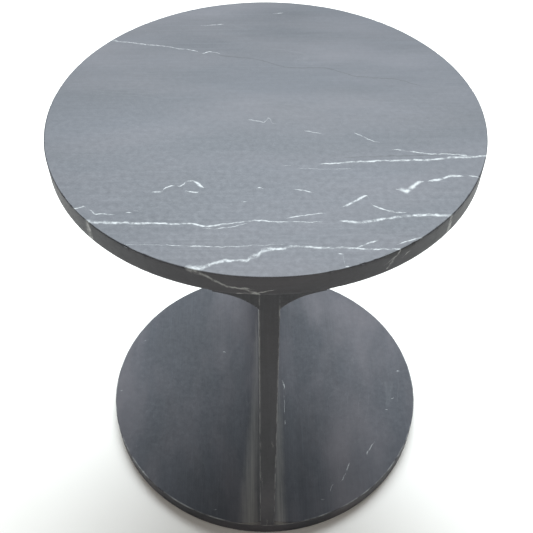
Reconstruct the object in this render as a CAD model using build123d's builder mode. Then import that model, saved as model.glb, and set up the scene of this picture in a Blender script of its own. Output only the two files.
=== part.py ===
"""Round pedestal table cut from black marble slab.

Two equal stone discs, the top and the base, are joined by one upright stone panel, the web, which spans
the full diameter so that its two narrow ends are flush with both rims. Four stone haunches, one in each
corner between the web and a disc, thicken the joints with a hollow curve. Steel dowels pin the top to the
web, threaded studs with washers and nuts hold the base to it from below, and rubber pads carry the table.

Frame: millimetres, +Z up, origin on the floor under the centre. The web stands in the YZ plane, so its
visible ends face -Y (front) and +Y (back), and left is -X.
"""

import math
import os

from build123d import *

os.makedirs("parts", exist_ok=True)

# ---------------------------------------------------------------- driving dimensions
table_diameter = 400.0
table_height = 460.0
slab_thickness = 20.0  # both discs come from the same slab
web_thickness = 17.0
blank_length = 420.0  # web and haunches before their ends are rounded to the rims
edge_ease = 1.0  # radius that takes the sharpness off the outer stone edges
land_depth = 5.0  # how deep into a disc the squared edge of a bonded joint is made up

haunch_reach = 36.0  # how far a haunch runs out along the disc, from the web's face
top_haunch_depth = 18.0  # how far the upper haunches run down the web
base_haunch_depth = 10.0  # how far the lower haunches run up the web
haunch_nib = 1.0  # square edge at a haunch's outer tip, where a feather edge would chip

fastener_count = 4  # dowels above and studs below, in line along the web
fastener_spacing = 100.0
bond_film = 0.1  # resin around a pin in its drilled hole

dowel_radius = 4.0
dowel_in_disc = 12.0
dowel_in_web = 28.0
pin_chamfer = 0.8

stud_radius = 3.0  # M6 threaded stud
stud_in_web = 40.0
stud_tip = 1.0  # how far a stud stands past its nut
stud_clearance_radius = 3.5
thread_gap = 0.05  # between a nut's bore and its stud

nut_across_flats = 10.0  # M6 hexagon nut
nut_height = 5.0
nut_face_radius = 4.7  # flat ring left on each face inside the turned-down corners
nut_crown_angle = 30.0

washer_radius = 9.0  # wide M6 washer
washer_hole_radius = 3.2
washer_thickness = 1.6
washer_chamfer = 0.3

recess_radius = 10.0  # the counterbore under the base leaves room for a socket on the nut
recess_depth = 9.0

pad_count = 6
pad_circle_radius = 165.0
pad_radius = 12.0
pad_thickness = 2.0
pad_ease = 0.6

# ---------------------------------------------------------------- derived places
table_radius = table_diameter / 2
half_web = web_thickness / 2
joint_width = web_thickness + 2 * haunch_reach
base_underside = pad_thickness
base_face = base_underside + slab_thickness
top_underside = table_height - slab_thickness
dowel_bottom = top_underside - dowel_in_web
dowel_length = dowel_in_web + dowel_in_disc
washer_underside = base_underside + recess_depth - washer_thickness
nut_underside = washer_underside - nut_height
nut_corner_radius = nut_across_flats / 2 / math.cos(math.pi / 6)
nut_crown = (nut_corner_radius - nut_face_radius) * math.tan(math.radians(nut_crown_angle))
stud_bottom = nut_underside - stud_tip
stud_length = base_face + stud_in_web - stud_bottom


def fastener_row():
    """The places of the dowels or studs, in line along the web."""
    return GridLocations(1, fastener_spacing, 1, fastener_count)


def finish(piece, name):
    """Label a finished piece and write it to a file of its own."""
    piece.part.label = name
    export_step(piece.part, f"parts/{name}.step")


# ---------------------------------------------------------------- top disc
# The arris is eased all round, then made square again where the web and its haunches are bonded on.
with BuildPart() as top_disc:
    with BuildSketch(Plane.XY.offset(top_underside)):
        Circle(table_radius)
    extrude(amount=slab_thickness)
    fillet(top_disc.edges().filter_by(GeomType.CIRCLE), edge_ease)
    with BuildSketch(Plane.XY.offset(top_underside)):
        Circle(table_radius)
        Rectangle(joint_width, blank_length, mode=Mode.INTERSECT)
    extrude(amount=land_depth)
    with Locations(Plane.XY.offset(top_underside)):
        with fastener_row():
            Hole(dowel_radius + bond_film, dowel_in_disc)
finish(top_disc, "top_disc")

# ---------------------------------------------------------------- base disc
# Counterbored from below, so that washers, nuts and stud ends stay clear of the floor.
with BuildPart() as base_disc:
    with BuildSketch(Plane.XY.offset(base_underside)):
        Circle(table_radius)
    extrude(amount=slab_thickness)
    fillet(base_disc.edges().filter_by(GeomType.CIRCLE), edge_ease)
    with BuildSketch(Plane.XY.offset(base_face)):
        Circle(table_radius)
        Rectangle(joint_width, blank_length, mode=Mode.INTERSECT)
    extrude(amount=-land_depth)
    with Locations(Plane((0, 0, base_underside), z_dir=(0, 0, -1))):
        with fastener_row():
            CounterBoreHole(stud_clearance_radius, recess_radius, recess_depth, slab_thickness)
finish(base_disc, "base_disc")

# ---------------------------------------------------------------- web panel
# Its ends follow the rims. The upright arrises are eased over the free height between the haunches only.
with BuildPart() as web_panel:
    with BuildSketch(Plane.XY.offset(base_face)):
        Circle(table_radius)
        Rectangle(web_thickness, blank_length, mode=Mode.INTERSECT)
    extrude(amount=top_underside - base_face)
    fillet(web_panel.edges().filter_by(Axis.Z), edge_ease)
    for joint_face, depth in ((base_face, base_haunch_depth), (top_underside, -top_haunch_depth)):
        with BuildSketch(Plane.XY.offset(joint_face)):
            Circle(table_radius)
            Rectangle(web_thickness, blank_length, mode=Mode.INTERSECT)
        extrude(amount=depth)
    with Locations(Plane.XY.offset(top_underside)):
        with fastener_row():
            Hole(dowel_radius + bond_film, dowel_in_web)
    with Locations(Plane.XY.offset(base_face)):
        with fastener_row():
            Hole(stud_radius + bond_film, stud_in_web)
finish(web_panel, "web_panel")

# ---------------------------------------------------------------- haunches
# One section, with its two straight sides on the disc's face and on the web's face, is set into each corner.
# Its hollow side is an arc that leaves the nib level with the disc's face and meets the web at a slope.
haunches = {
    "top_haunch_left": (-1, top_underside, -top_haunch_depth, -haunch_nib),
    "top_haunch_right": (1, top_underside, -top_haunch_depth, -haunch_nib),
    "base_haunch_left": (-1, base_face, base_haunch_depth, haunch_nib),
    "base_haunch_right": (1, base_face, base_haunch_depth, haunch_nib),
}
for name, (side, disc_face, depth, nib) in haunches.items():
    corner = (side * half_web, disc_face)
    web_end = (side * half_web, disc_face + depth)
    disc_end = (side * (half_web + haunch_reach), disc_face)
    nib_end = (side * (half_web + haunch_reach), disc_face + nib)
    with BuildPart() as haunch:
        with BuildSketch(Plane.XZ):
            with BuildLine():
                Polyline(web_end, corner, disc_end, nib_end)
                TangentArc(nib_end, web_end, tangent=(-side, 0))
            make_face()
        extrude(amount=blank_length / 2, both=True)
        with BuildSketch():
            Circle(table_radius)
        extrude(amount=table_height, mode=Mode.INTERSECT)
    finish(haunch, name)

# ---------------------------------------------------------------- dowels, studs, washers and nuts
for number, place in enumerate(fastener_row(), 1):
    station = place.position.Y

    with BuildPart() as dowel:
        with BuildSketch(Plane((0, station, dowel_bottom))):
            Circle(dowel_radius)
        extrude(amount=dowel_length)
        chamfer(dowel.edges().filter_by(GeomType.CIRCLE), pin_chamfer)
    finish(dowel, f"top_dowel_{number}")

    with BuildPart() as stud:
        with BuildSketch(Plane((0, station, stud_bottom))):
            Circle(stud_radius)
        extrude(amount=stud_length)
        chamfer(stud.edges().filter_by(GeomType.CIRCLE), pin_chamfer)
    finish(stud, f"base_stud_{number}")

    with BuildPart() as washer:
        with BuildSketch(Plane((0, station, washer_underside))):
            Circle(washer_radius)
            Circle(washer_hole_radius, mode=Mode.SUBTRACT)
        extrude(amount=washer_thickness)
        chamfer(washer.edges().group_by(SortBy.LENGTH)[-1], washer_chamfer)
    finish(washer, f"base_washer_{number}")

    # A hexagon whose corners are turned down to a cone at both faces.
    with BuildPart() as nut:
        with BuildSketch(Plane((0, station, nut_underside))):
            RegularPolygon(nut_across_flats / 2, 6, major_radius=False)
        extrude(amount=nut_height)
        with BuildSketch(Plane((0, station, nut_underside), x_dir=(1, 0, 0), z_dir=(0, -1, 0))):
            with BuildLine():
                Polyline(
                    (0, 0),
                    (nut_face_radius, 0),
                    (nut_corner_radius, nut_crown),
                    (nut_corner_radius, nut_height - nut_crown),
                    (nut_face_radius, nut_height),
                    (0, nut_height),
                    close=True,
                )
            make_face()
        revolve(axis=Axis((0, station, 0), (0, 0, 1)), mode=Mode.INTERSECT)
        with Locations((0, station, nut_underside)):
            Hole(stud_radius + thread_gap, nut_height)
    finish(nut, f"base_nut_{number}")

# ---------------------------------------------------------------- foot pads
for number, place in enumerate(PolarLocations(pad_circle_radius, pad_count), 1):
    with BuildPart() as pad:
        with BuildSketch(Plane(place.position)):
            Circle(pad_radius)
        extrude(amount=pad_thickness)
        fillet(pad.edges().filter_by(GeomType.CIRCLE), pad_ease)
    finish(pad, f"foot_pad_{number}")
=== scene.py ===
"""Round pedestal table in honed black marble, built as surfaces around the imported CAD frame.

The stone pieces are worked out with numpy: two slabs turned from a profile, a web panel and four haunches
carried along the table's depth. Steel studs, washers and nuts show in the counterbores under the base, and
rubber pads carry the table. Veins are sheets through the stone, so they run on over an edge and down a rim.
Lengths are in metres unless a name ends in _mm.
"""

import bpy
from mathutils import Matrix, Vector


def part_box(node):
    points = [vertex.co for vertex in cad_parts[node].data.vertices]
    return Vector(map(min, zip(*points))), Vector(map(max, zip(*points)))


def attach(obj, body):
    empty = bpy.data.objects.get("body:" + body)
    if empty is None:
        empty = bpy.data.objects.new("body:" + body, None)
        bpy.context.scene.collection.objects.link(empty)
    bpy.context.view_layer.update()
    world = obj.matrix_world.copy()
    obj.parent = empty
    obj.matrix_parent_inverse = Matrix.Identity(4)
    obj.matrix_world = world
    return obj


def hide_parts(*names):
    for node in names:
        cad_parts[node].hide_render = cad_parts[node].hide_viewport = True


bl_info = {
    "name": "Round marble pedestal table",
    "version": (1, 0, 0),
    "blender": (4, 5, 0),
    "location": "3D View > Sidebar > Marble table",
    "description": "Builds a round side table of black marble slab with its fixings and a plain studio",
    "category": "Object",
}

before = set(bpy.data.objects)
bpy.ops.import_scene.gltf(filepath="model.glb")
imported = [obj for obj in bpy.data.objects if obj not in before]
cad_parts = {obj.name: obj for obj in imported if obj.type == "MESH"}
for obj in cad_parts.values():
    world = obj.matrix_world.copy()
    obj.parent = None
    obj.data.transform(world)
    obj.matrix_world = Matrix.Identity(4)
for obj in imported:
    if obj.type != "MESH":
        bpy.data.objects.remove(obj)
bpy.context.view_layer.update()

import math

import bpy
import numpy as np
from bpy.props import FloatProperty, FloatVectorProperty, PointerProperty
from mathutils import Matrix, Vector

MM = 0.001

# ---------------------------------------------------------------- places read from the frame
TOP_LOW, TOP_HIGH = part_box("top_disc")
BASE_LOW, BASE_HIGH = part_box("base_disc")
WEB_LOW, WEB_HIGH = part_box("web_panel")
HAUNCHES = ("top_haunch_left", "top_haunch_right", "base_haunch_left", "base_haunch_right")
ROW = range(1, 5)
PADS = range(1, 7)
RADIUS = min(-TOP_LOW.x, TOP_HIGH.x)
HALF_WEB = WEB_HIGH.x
HAUNCH_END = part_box("top_haunch_right")[1].x
TOP_HAUNCH_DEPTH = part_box("top_haunch_right")[1].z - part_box("top_haunch_right")[0].z
BASE_HAUNCH_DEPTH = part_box("base_haunch_right")[1].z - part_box("base_haunch_right")[0].z


# ---------------------------------------------------------------- settings
class TableSizes(bpy.types.PropertyGroup):
    """Small sizes that finish the stone and the fixings."""

    arris: FloatProperty(name="Arris", description="Radius of the eased outer stone edges",
                         default=1.0 * MM, min=0.1 * MM, unit="LENGTH")
    chip: FloatProperty(name="Chip depth", description="Depth of the deepest bruise along an arris",
                        default=0.5 * MM, min=0.0, unit="LENGTH")
    nib: FloatProperty(name="Haunch nib", description="Square edge left at a haunch's outer tip",
                       default=1.0 * MM, min=0.2 * MM, unit="LENGTH")
    bond_film: FloatProperty(name="Bond film", description="Resin left around a pin in its drilled hole",
                             default=0.1 * MM, min=0.0, unit="LENGTH")
    stud_clearance: FloatProperty(name="Stud clearance", description="Radius of a stud's hole in the base",
                                  default=3.5 * MM, min=3.1 * MM, unit="LENGTH")
    recess: FloatProperty(name="Recess radius", description="Radius of the counterbores under the base",
                          default=10.0 * MM, min=9.2 * MM, unit="LENGTH")
    pitch: FloatProperty(name="Thread pitch", description="Rise of the stud's thread in one turn",
                         default=1.0 * MM, min=0.5 * MM, unit="LENGTH")


def colour_property(name, description, hex_value):
    """A colour setting whose default is given as an sRGB hex value."""
    return FloatVectorProperty(name=name, description=description, subtype="COLOR", size=3,
                               min=0.0, max=1.0, default=linear(hex_value))


def linear(hex_value):
    """Linear red, green and blue of an sRGB hex value."""
    parts = [int(hex_value[i:i + 2], 16) / 255 for i in (1, 3, 5)]
    return tuple(p / 12.92 if p <= 0.04045 else ((p + 0.055) / 1.055) ** 2.4 for p in parts)


class TableColours(bpy.types.PropertyGroup):
    """The colours of the stone, the metal, the rubber and the floor."""

    stone: colour_property("Stone", "Body of the marble", "#303137")
    stone_dark: colour_property("Dark stone", "Darkest clouds in the marble", "#232429")
    stone_light: colour_property("Light stone", "Fine pale crystals and clouds", "#46494D")
    # Painted reflection: the paler strips beside the panel's foot stand in for light that the haunches catch.
    painted_reflection: colour_property("Painted reflection", "Painted reflection: paler strips beside the panel's foot", "#827F78")
    dust: colour_property("Dust", "Warm dust rubbed into the honing strokes", "#6B6567")
    # Paler bruised arrises; the same paler edge also serves as a painted edge highlight.
    wear_and_highlight: colour_property("Wear and highlight", "Bruised edges and painted edge highlight", "#8B8C8A")
    vein: colour_property("Vein", "Calcite veins", "#A3A4A1")
    dark_vein: colour_property("Dark vein", "Dark lines in the marble", "#141416")
    sawn: colour_property("Sawn stone", "Paler skin left by the saw underneath", "#5A5C5E")
    steel: colour_property("Steel", "Stainless fixings", "#B4B5B4")
    steel_dull: colour_property("Dull steel", "Stainless fixings where they were handled", "#A2A3A2")
    rubber: colour_property("Rubber", "Foot pads", "#1C1C1D")
    rubber_dust: colour_property("Rubber dust", "Dust in the grain of the foot pads", "#3A3936")
    floor: colour_property("Floor", "Pale studio floor", "#F5F0E8")
    floor_shade: colour_property("Floor shade", "Darker patches of the floor's paint", "#F1ECE3")


# ---------------------------------------------------------------- mesh tools
def grid_quads(rows, columns, wrap_rows=False):
    """Quads of a grid of points whose columns close on themselves. They face outwards where the rows run
    downwards and the columns turn anticlockwise seen from above."""
    bands = rows if wrap_rows else rows - 1
    row, column = np.meshgrid(np.arange(bands), np.arange(columns), indexing="ij")
    following = (row + 1) % rows
    beside = (column + 1) % columns
    corners = (row * columns + column, following * columns + column,
               following * columns + beside, row * columns + beside)
    return np.stack(corners, axis=-1).reshape(-1, 4)


def closed_rings(rings, first_pole=None, last_pole=None):
    """A closed surface through rings, an array of rows by columns by 3, ordered from top to bottom and
    anticlockwise seen from above. A pole closes each end with a fan; without poles the rows wrap round."""
    rows, columns, _ = rings.shape
    points = rings.reshape(-1, 3)
    if first_pole is None:
        return points, grid_quads(rows, columns, wrap_rows=True).tolist()
    step = np.arange(columns)
    beside = (step + 1) % columns
    last = (rows - 1) * columns
    top = np.stack([np.full(columns, len(points)), step, beside], axis=-1)
    bottom = np.stack([np.full(columns, len(points) + 1), last + beside, last + step], axis=-1)
    points = np.vstack([points, first_pole, last_pole])
    faces = grid_quads(rows, columns).tolist() + top.tolist() + bottom.tolist()
    return points, faces


def join_shells(shells):
    """Several (points, faces) shells as one."""
    points, faces, start = [], [], 0
    for shell_points, shell_faces in shells:
        points.append(shell_points)
        faces += [[corner + start for corner in face] for face in shell_faces]
        start += len(shell_points)
    return np.vstack(points), faces


def make_object(name, shell, sharp_degrees=35.0):
    """A mesh object at the origin from a shell, shaded smooth except across sharp edges."""
    points, faces = shell
    mesh = bpy.data.meshes.new(name)
    mesh.from_pydata(points.tolist(), [], faces)
    finish_shading(mesh, sharp_degrees)
    piece = bpy.data.objects.new(name, mesh)
    bpy.context.scene.collection.objects.link(piece)
    return piece


def finish_shading(mesh, sharp_degrees):
    """Smooth shading, broken at edges sharper than the given angle."""
    mesh.polygons.foreach_set("use_smooth", np.ones(len(mesh.polygons), bool))
    mesh.set_sharp_from_angle(angle=math.radians(sharp_degrees))
    mesh.update()


def turned(profile, centre=(0.0, 0.0), segments=64):
    """A profile of (radius, height) pairs turned about a vertical axis through centre. Each ring is
    centre + radius * (cos t, sin t) at its height. A profile that starts and ends on the axis gets poles."""
    radius, height = np.array(profile, float).T
    middle = np.array([centre[0], centre[1], 0.0])
    on_axis = radius[0] == 0.0
    body = slice(1, -1) if on_axis else slice(None)
    t = np.linspace(0.0, math.tau, segments, endpoint=False)
    rings = np.stack([radius[body, None] * np.cos(t), radius[body, None] * np.sin(t),
                      np.broadcast_to(height[body, None], (len(radius[body]), segments))], axis=-1) + middle
    if not on_axis:
        return closed_rings(rings)
    return closed_rings(rings, middle + (0, 0, height[0]), middle + (0, 0, height[-1]))


def carve(piece, shells):
    """Cuts the closed shells out of the piece and keeps the result as its mesh."""
    cutter = make_object("cutter", join_shells(shells))
    cut = piece.modifiers.new("cut", "BOOLEAN")
    cut.operation = "DIFFERENCE"
    cut.solver = "EXACT"
    cut.object = cutter
    graph = bpy.context.evaluated_depsgraph_get()
    carved = bpy.data.meshes.new_from_object(piece.evaluated_get(graph), depsgraph=graph)
    piece.modifiers.remove(cut)
    blank = piece.data
    piece.data = carved
    carved.name = piece.name
    bpy.data.meshes.remove(blank)
    bpy.data.objects.remove(cutter)
    finish_shading(carved, 35.0)


def settle(piece, material, slot, *nodes):
    """Gives a finished piece its material and its place in the frame, and hides the CAD nodes that it stands
    for.
    """
    piece.data.materials.clear()
    piece.data.materials.append(material)
    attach(piece, "root")
    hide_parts(*nodes)


def smoothstep(low, high, value):
    """0 below low, 1 above high, and 3t^2 - 2t^3 between them."""
    t = np.clip((value - low) / (high - low), 0.0, 1.0)
    return t * t * (3 - 2 * t)


def bruises(places, length, seed, count, deepest):
    """Small bruises along an edge of the given length that closes on itself: a sum of bell curves, each
    deepest * share * exp(-(distance / half width)^2), with random places, widths and depths."""
    random = np.random.default_rng(seed)
    centre = random.uniform(0.0, length, count)
    half_width = random.uniform(0.6 * MM, 2.2 * MM, count)
    depth = deepest * random.uniform(0.15, 1.0, count) ** 2
    away = np.abs(places[..., None] - centre)
    away = np.minimum(away, length - away)
    return (depth * np.exp(-(away / half_width) ** 2)).sum(axis=-1)


# ---------------------------------------------------------------- shapes
SLAB_SEGMENTS = 1440
ARRIS_STEPS = 7
RIM_ROWS = 5
FRONT_DEGREES = 270.0
WEB_ROWS = 523
SHARP_ARRIS = 0.03 * MM
HAUNCH_SECTIONS = (0.02, 0.08)


def slab_shell(low, high, arris, chip, square_top, square_bottom, seed, nicks=()):
    """A round slab. The profile runs out from the centre of the upper face, round a quarter circle of the
    arris radius, down the rim and back underneath. Where web and haunches join, the arris radius falls to
    almost nothing. Bruises pull arris points in along the diagonal of the edge, and so do nicks in the upper
    arris, each given as degrees to the right of the front, half width and depth."""
    t = np.linspace(0.0, math.tau, SLAB_SEGMENTS, endpoint=False)
    free = smoothstep(HAUNCH_END - 2 * MM, HAUNCH_END + 6 * MM, np.abs(RADIUS * np.cos(t)))
    uneven = 1 + 0.2 * np.sin(5 * t + seed) + 0.12 * np.sin(17 * t + 2 * seed)
    free_top = free if square_top else 1.0
    free_bottom = free if square_bottom else 1.0
    upper = SHARP_ARRIS + (arris * uneven - SHARP_ARRIS) * free_top
    lower = SHARP_ARRIS + (arris * uneven - SHARP_ARRIS) * free_bottom
    around = RADIUS * t
    rim_length = math.tau * RADIUS
    upper_chip = bruises(around, rim_length, seed, 60, chip) * free_top
    lower_chip = bruises(around, rim_length, seed + 1, 60, chip) * free_bottom
    for degrees, half_width, depth in nicks:
        away = RADIUS * (t - math.radians(FRONT_DEGREES + degrees))
        upper_chip = upper_chip + depth * np.exp(-(away / half_width) ** 2)
    turn = np.radians(np.linspace(0.0, 90.0, ARRIS_STEPS))[:, None]
    bite = np.sin(2 * turn) / math.sqrt(2)
    upper_radius = RADIUS - upper + upper * np.sin(turn) - upper_chip * bite
    upper_height = high - upper + upper * np.cos(turn) - upper_chip * bite
    lower_radius = (RADIUS - lower + lower * np.sin(turn) - lower_chip * bite)[::-1]
    lower_height = (low + lower - lower * np.cos(turn) + lower_chip * bite)[::-1]
    share = np.linspace(0.0, 1.0, RIM_ROWS + 2)[1:-1, None]
    rim_height = upper_height[-1] * (1 - share) + lower_height[0] * share
    rim_radius = np.full_like(rim_height, RADIUS)
    inner = np.array([0.25, 0.5, 0.75, 0.9, 0.975])[:, None] * RADIUS * np.ones_like(t)
    margin = 0.4 * MM
    radius = np.vstack([inner, upper_radius[:1] - margin, upper_radius, rim_radius,
                        lower_radius, lower_radius[-1:] - margin, inner[::-1]])
    flat_rows = len(inner) + 1
    flat = np.ones((flat_rows, 1)) * np.ones_like(t)
    height = np.vstack([flat * high, upper_height, rim_height, lower_height, flat * low])
    rings = np.stack([radius * np.cos(t), radius * np.sin(t), height], axis=-1)
    return closed_rings(rings, (0.0, 0.0, high), (0.0, 0.0, low))


def end_of_depth(x):
    """How far from the centre line the table's round outline lies at this distance from the middle."""
    return np.sqrt(RADIUS ** 2 - x ** 2)


def web_shell(arris, chip):
    """The upright panel as rings of one plan outline. Its ends lie on the table's round outline, with
    quarter-circle arrises at the four corners that close up inside the haunches."""
    z = np.linspace(WEB_HIGH.z, WEB_LOW.z, WEB_ROWS)[:, None]
    top_tip = WEB_HIGH.z - TOP_HAUNCH_DEPTH
    base_tip = WEB_LOW.z + BASE_HAUNCH_DEPTH
    free = (smoothstep(top_tip + 2 * MM, top_tip - 1 * MM, z)
            * smoothstep(base_tip - 2 * MM, base_tip + 1 * MM, z))
    turn = np.radians(np.linspace(0.0, 90.0, ARRIS_STEPS))
    span = WEB_HIGH.z - WEB_LOW.z
    columns = []
    # Anticlockwise seen from above: back right corner first, then back left, front left, front right.
    for number, (side, end) in enumerate(((1, 1), (-1, 1), (-1, -1), (1, -1))):
        ease = SHARP_ARRIS + arris * (0.9 + 0.15 * np.sin(40 * z + number)) * free
        nick = bruises(z - WEB_LOW.z, 2 * span, 31 + number, 24, chip) * free
        bite = np.sin(2 * turn) / math.sqrt(2)
        x = HALF_WEB - ease + ease * np.cos(turn) - nick * bite
        y = end_of_depth(HALF_WEB) - ease + ease * np.sin(turn) - nick * bite
        y = y + (end_of_depth(x) - end_of_depth(HALF_WEB)) * np.sin(turn)
        corner = np.stack([side * x, end * y], axis=-1)
        if side * end < 0:
            corner = corner[:, ::-1]
        columns.append(corner)
        across = np.linspace(1.0, -1.0, 9)
        if number in (0, 2):
            inner_x = end * across[1:-1] * (HALF_WEB - ease)
            columns.append(np.stack([inner_x, end * end_of_depth(inner_x)], axis=-1))
        else:
            margin = 0.5 * MM
            start = end_of_depth(HALF_WEB) - ease - margin
            inner_y = end * across * start
            columns.append(np.stack([np.full_like(inner_y, side * HALF_WEB), inner_y], axis=-1))
    plan = np.concatenate(columns, axis=1)
    height = np.broadcast_to(z, plan.shape[:2])
    rings = np.concatenate([plan, height[..., None]], axis=-1)
    return closed_rings(rings, (0.0, 0.0, WEB_HIGH.z), (0.0, 0.0, WEB_LOW.z))


def haunch_shell(side, disc_face, rise, nib, arris):
    """A strip that fills the corner between a disc's face and the web. Its hollow side is an arc that is
    level with the disc at the nib and passes through the web's face: with t the angle turned from the nib,
    it lies r sin t in from the nib and r - r cos t further from the disc, where
    r = (reach^2 + drop^2) / (2 drop). Next to each end it is drawn in by a quarter circle, which makes the
    eased arris, and the arris runs out where the strip is thin."""
    reach = HAUNCH_END - HALF_WEB
    drop = abs(rise) - nib
    r = (reach ** 2 + drop ** 2) / (2 * drop)
    t = np.linspace(0.0, math.asin(reach / r), 41)
    hollow_x = reach - r * np.sin(t)
    hollow_z = nib + r - r * np.cos(t)
    turn = np.radians(np.linspace(0.0, 90.0, ARRIS_STEPS))
    inset = np.concatenate([arris * (1 - np.cos(turn)), HAUNCH_SECTIONS])
    drawn = np.concatenate([arris * (1 - np.sin(turn)), [0.0, 0.0]])
    inset = np.concatenate([inset, inset[::-1]])[:, None]
    drawn = np.concatenate([drawn, drawn[::-1]])[:, None]
    end = np.repeat([-1.0, 1.0], len(turn) + 2)[:, None]
    give = drawn * smoothstep(0.0, 4 * MM, hollow_z - nib)
    x = np.maximum(hollow_x - give * np.sin(t), 0.0)
    z = hollow_z - give * np.cos(t)
    every = np.ones_like(end)
    # Section ring: from the corner out along the disc, up the nib, then back along the hollow side.
    ring_x = np.concatenate([every * np.linspace(0.0, reach, 9), x], axis=1) + HALF_WEB
    ring_z = np.concatenate([every * np.zeros(9), z], axis=1)
    y = end * (end_of_depth(ring_x) - inset)
    sign = math.copysign(1.0, rise)
    rings = np.stack([side * ring_x, y, disc_face + sign * ring_z], axis=-1)
    if side * sign < 0:
        rings = rings[:, ::-1]
    # A point beside the corner sees the whole section, so the ends close towards it.
    beside = HALF_WEB + nib / 2
    heart = np.array([side * beside, end_of_depth(beside), disc_face + sign * nib / 2])
    return capped_strip(rings, heart * (1, -1, 1), heart)


def capped_strip(rings, first, last):
    """A strip through section rings, closed at each end by a few rings that shrink towards a point and
    follow the round outline on the way."""
    shrink = np.linspace(1.0, 0.0, 7)[1:-1, None, None]
    start = first + (rings[0] - first) * shrink
    finish = last + (rings[-1] - last) * shrink
    for cap, end in ((start, -1.0), (finish, 1.0)):
        cap[..., 1] = end * end_of_depth(cap[..., 0])
    rings = np.concatenate([start[::-1], rings, finish])
    return closed_rings(rings, first, last)


def threaded_shell(centre, low, high, radius, pitch):
    """A threaded rod. The radius falls from the crest by a triangle wave of height over pitch less turn
    over a full circle, which makes one helix. The wave is stretched and clipped, so crest and root have
    small flats, and 45 degree chamfers limit it at both ends."""
    depth = 0.61 * pitch
    t = np.linspace(0.0, math.tau, 24, endpoint=False)
    rows_in_a_turn = 8
    z = np.linspace(high, low, int((high - low) / pitch * rows_in_a_turn))[:, None]
    phase = (z / pitch - t / math.tau) % 1.0
    wave = np.clip(1.15 * np.abs(2 * phase - 1) - 0.08, 0.0, 1.0)
    tip_radius = radius - 0.8 * MM
    limit = tip_radius + np.minimum(high - z, z - low)
    r = np.minimum(radius - depth * wave, limit)
    rings = np.stack([centre.x + r * np.cos(t), centre.y + r * np.sin(t), z + np.zeros_like(r)], axis=-1)
    return closed_rings(rings, (centre.x, centre.y, high), (centre.x, centre.y, low))


def nut_shell(centre, low, high, half_flats, bore):
    """A hexagon nut. The hexagon's radius is the flats' half width over cos(t mod 60 - 30 degrees), and its
    corners are turned down by a 30 degree cone at both faces. The profile closes through the bore."""
    t = np.linspace(0.0, math.tau, 96, endpoint=False)
    hexagon = half_flats / np.cos(t % math.radians(60) - math.radians(30))
    face = 0.94 * half_flats
    crown = np.maximum(hexagon - face, 0.0) * math.tan(math.radians(30))
    countersink = 0.5 * MM
    support = 0.2 * MM
    # From the bore out over one face: each row is a radius and how far it lies below the face.
    half = ((bore, countersink), (bore + countersink, 0.0), (face - support, 0.0), (face, 0.0),
            (hexagon, crown))
    half_radius = np.stack([radius + 0 * t for radius, _ in half])
    half_drop = np.stack([drop + 0 * t for _, drop in half])
    radius = np.vstack([half_radius, half_radius[::-1]])
    height = np.vstack([high - half_drop, low + half_drop[::-1]])
    rings = np.stack([centre.x + radius * np.cos(t), centre.y + radius * np.sin(t), height], axis=-1)
    return closed_rings(rings)


def rounded(corners, ease, steps=5):
    """A profile through corners, each turned by a quarter circle of the ease radius; its corners are right
    angles with straight sides longer than twice the ease."""
    corners = [np.array(c, float) for c in corners]
    profile = []
    for before, corner, after in zip(corners[-1:] + corners[:-1], corners, corners[1:] + corners[:1]):
        arrive = (before - corner) / np.linalg.norm(before - corner) * ease
        leave = (after - corner) / np.linalg.norm(after - corner) * ease
        for angle in np.radians(np.linspace(0.0, 90.0, steps)):
            profile.append(corner + arrive * (1 - math.sin(angle)) + leave * (1 - math.cos(angle)))
    return profile


def pad_shell(centre, low, high, outer):
    """A pad turned from a profile: flat where it is bonded to the stone, a rounded side, and a tread whose
    rings stand on the floor. The tread's height above the floor is dish * (1 - cos(5 pi share)) / 2 over the
    share of the way from the rim to the middle, so it has two rings inside the rim and a dished middle."""
    ease = 0.6 * MM
    dish = 0.5 * MM
    rim_share = 0.12
    quarter = np.radians(np.linspace(0.0, 90.0, 7))
    upper = np.stack([outer - ease + ease * np.sin(quarter), high - ease + ease * np.cos(quarter)], axis=-1)
    lower = np.stack([outer - ease + ease * np.cos(quarter), low + ease - ease * np.sin(quarter)], axis=-1)
    share = np.linspace(0.0, 1.0, 61)[1:]
    tread_radius = (outer - ease) * (1 - rim_share) * (1 - share)
    tread_height = low + dish * (1 - np.cos(5 * math.pi * share)) / 2
    tread = np.stack([tread_radius, tread_height], axis=-1)
    return turned(np.concatenate([[(0.0, high)], upper, lower, tread]), centre, 72)


# ---------------------------------------------------------------- shader tools
def add(tree, kind, links=(), output=0, **settings):
    """Adds a shader node with its settings, links or sets its inputs, and returns one of its outputs."""
    made = tree.nodes.new("ShaderNode" + kind)
    for name, value in settings.items():
        setattr(made, name, value)
    for key, value in dict(links).items():
        if isinstance(value, bpy.types.NodeSocket):
            tree.links.new(value, made.inputs[key])
        else:
            made.inputs[key].default_value = value
    return made.outputs[output]


def new_material(name, **shader_values):
    """An empty material with one principled shader whose own sockets take the given values."""
    material = bpy.data.materials.new(name)
    material.use_nodes = True
    tree = material.node_tree
    tree.nodes.clear()
    surface = add(tree, "BsdfPrincipled", {k.replace("_", " "): v for k, v in shader_values.items()})
    finish = tree.nodes.new("ShaderNodeOutputMaterial")
    tree.links.new(surface, finish.inputs["Surface"])
    return material, tree, surface.node


def finish_surface(tree, surface, colour, roughness, bump):
    """Links a material's colour, roughness and bumped normal to its shader."""
    for socket, value in (("Base Color", colour), ("Roughness", roughness), ("Normal", bump)):
        tree.links.new(value, surface.inputs[socket])


def opaque(colour):
    """A colour with full alpha, as a colour socket takes it."""
    return (*colour, 1.0)


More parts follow.
